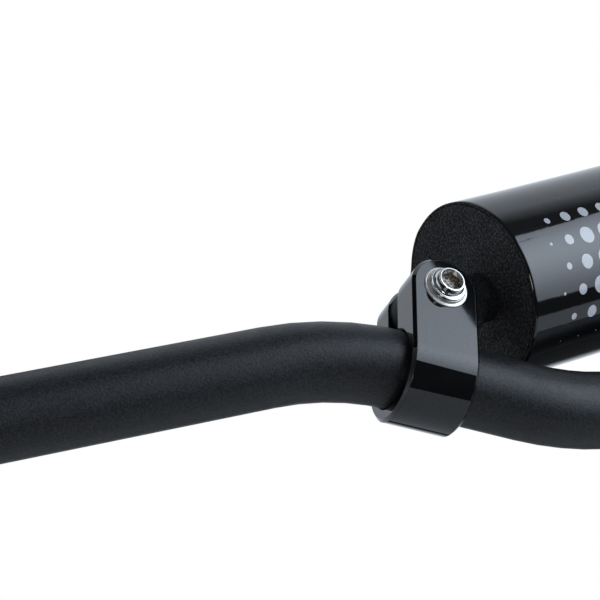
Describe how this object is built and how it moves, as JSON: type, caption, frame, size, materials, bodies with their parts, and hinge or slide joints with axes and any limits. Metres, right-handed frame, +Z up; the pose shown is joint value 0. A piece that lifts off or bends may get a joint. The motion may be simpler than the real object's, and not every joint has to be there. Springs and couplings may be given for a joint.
{
  "type": "motocross handlebar",
  "caption": "Bent tube handlebar for an off-road motorcycle, braced by a crossbar in bolted clamps and covered with a round foam pad.",
  "frame": {"origin": "on the tube's axis, at the middle of the straight section that the stem clamps", "axes": "+X along the bar to the rider's left, +Y to the rear, the way the grips sweep, +Z up, away from the stem"},
  "size_m": [0.7898, 0.0705, 0.098],
  "materials": {
    "bar_satin_black": "satin black anodised, bead blasted",
    "clamp_gloss_black": "gloss black, smooth",
    "bolt_polished": "polished",
    "washer_steel": "satin",
    "foam_black": "fine-celled foam, cut face",
    "cover_gloss_black": "gloss sheet, wrapped",
    "strip_black": "touch fastener pile"
  },
  "bodies": {
    "root": {"bar_tube": "bar_satin_black", "crossbar": "bar_satin_black", "crossbar_clamp_left": "clamp_gloss_black", "crossbar_clamp_right": "clamp_gloss_black", "clamp_bolts": "bolt_polished", "clamp_washers": "washer_steel", "pad_foam": "foam_black", "pad_cover": "cover_gloss_black", "pad_loop_strip": "strip_black", "pad_hook_strip": "strip_black"}
  },
  "joints": []
}
